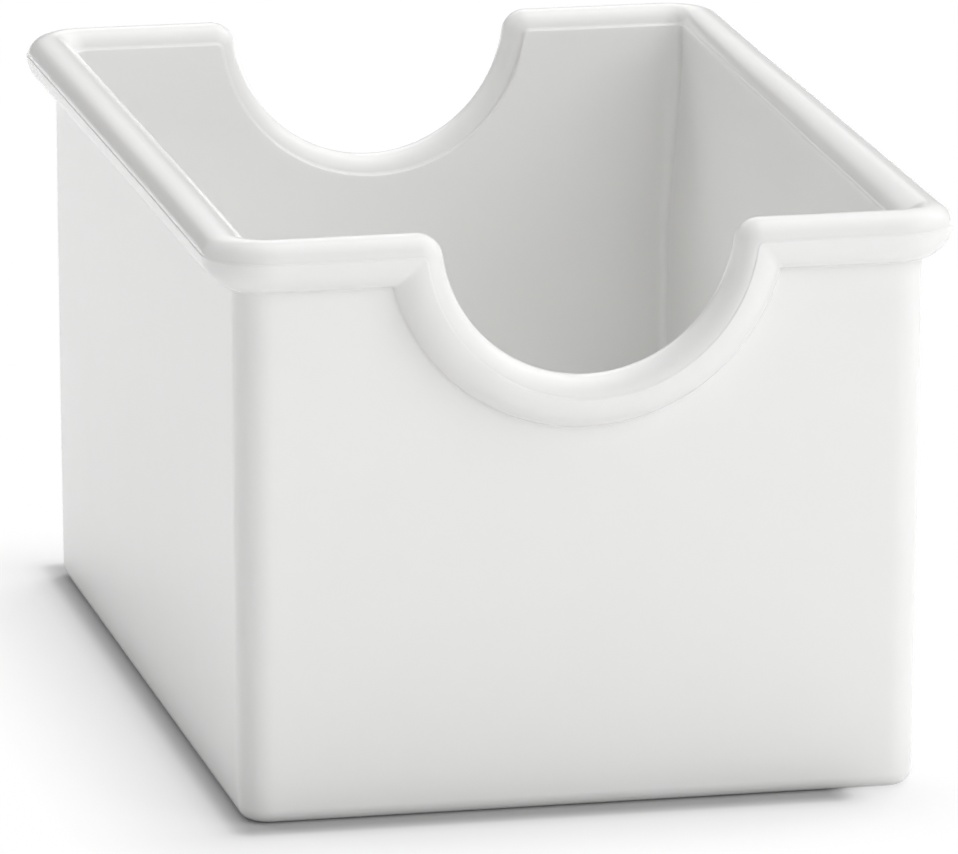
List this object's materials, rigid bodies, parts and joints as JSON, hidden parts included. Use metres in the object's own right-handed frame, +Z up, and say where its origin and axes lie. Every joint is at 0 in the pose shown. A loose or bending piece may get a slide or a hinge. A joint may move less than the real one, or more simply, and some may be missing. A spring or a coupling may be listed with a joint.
{
  "type": "sugar packet holder",
  "caption": "Small open box that stands sugar or sweetener packets upright on a table, with drafted walls, a rolled rim and a half-round finger cut-out at the front and the back.",
  "frame": {"origin": "middle of the base, on the surface it stands on", "axes": "+Z up, +Y from the front wall to the back wall along the box's length, +X to the right seen from the front"},
  "size_m": [0.064, 0.092, 0.0502],
  "materials": {
    "white_plastic": "satin, lightly textured"
  },
  "bodies": {
    "root": {"holder_body": "white_plastic"}
  },
  "joints": []
}
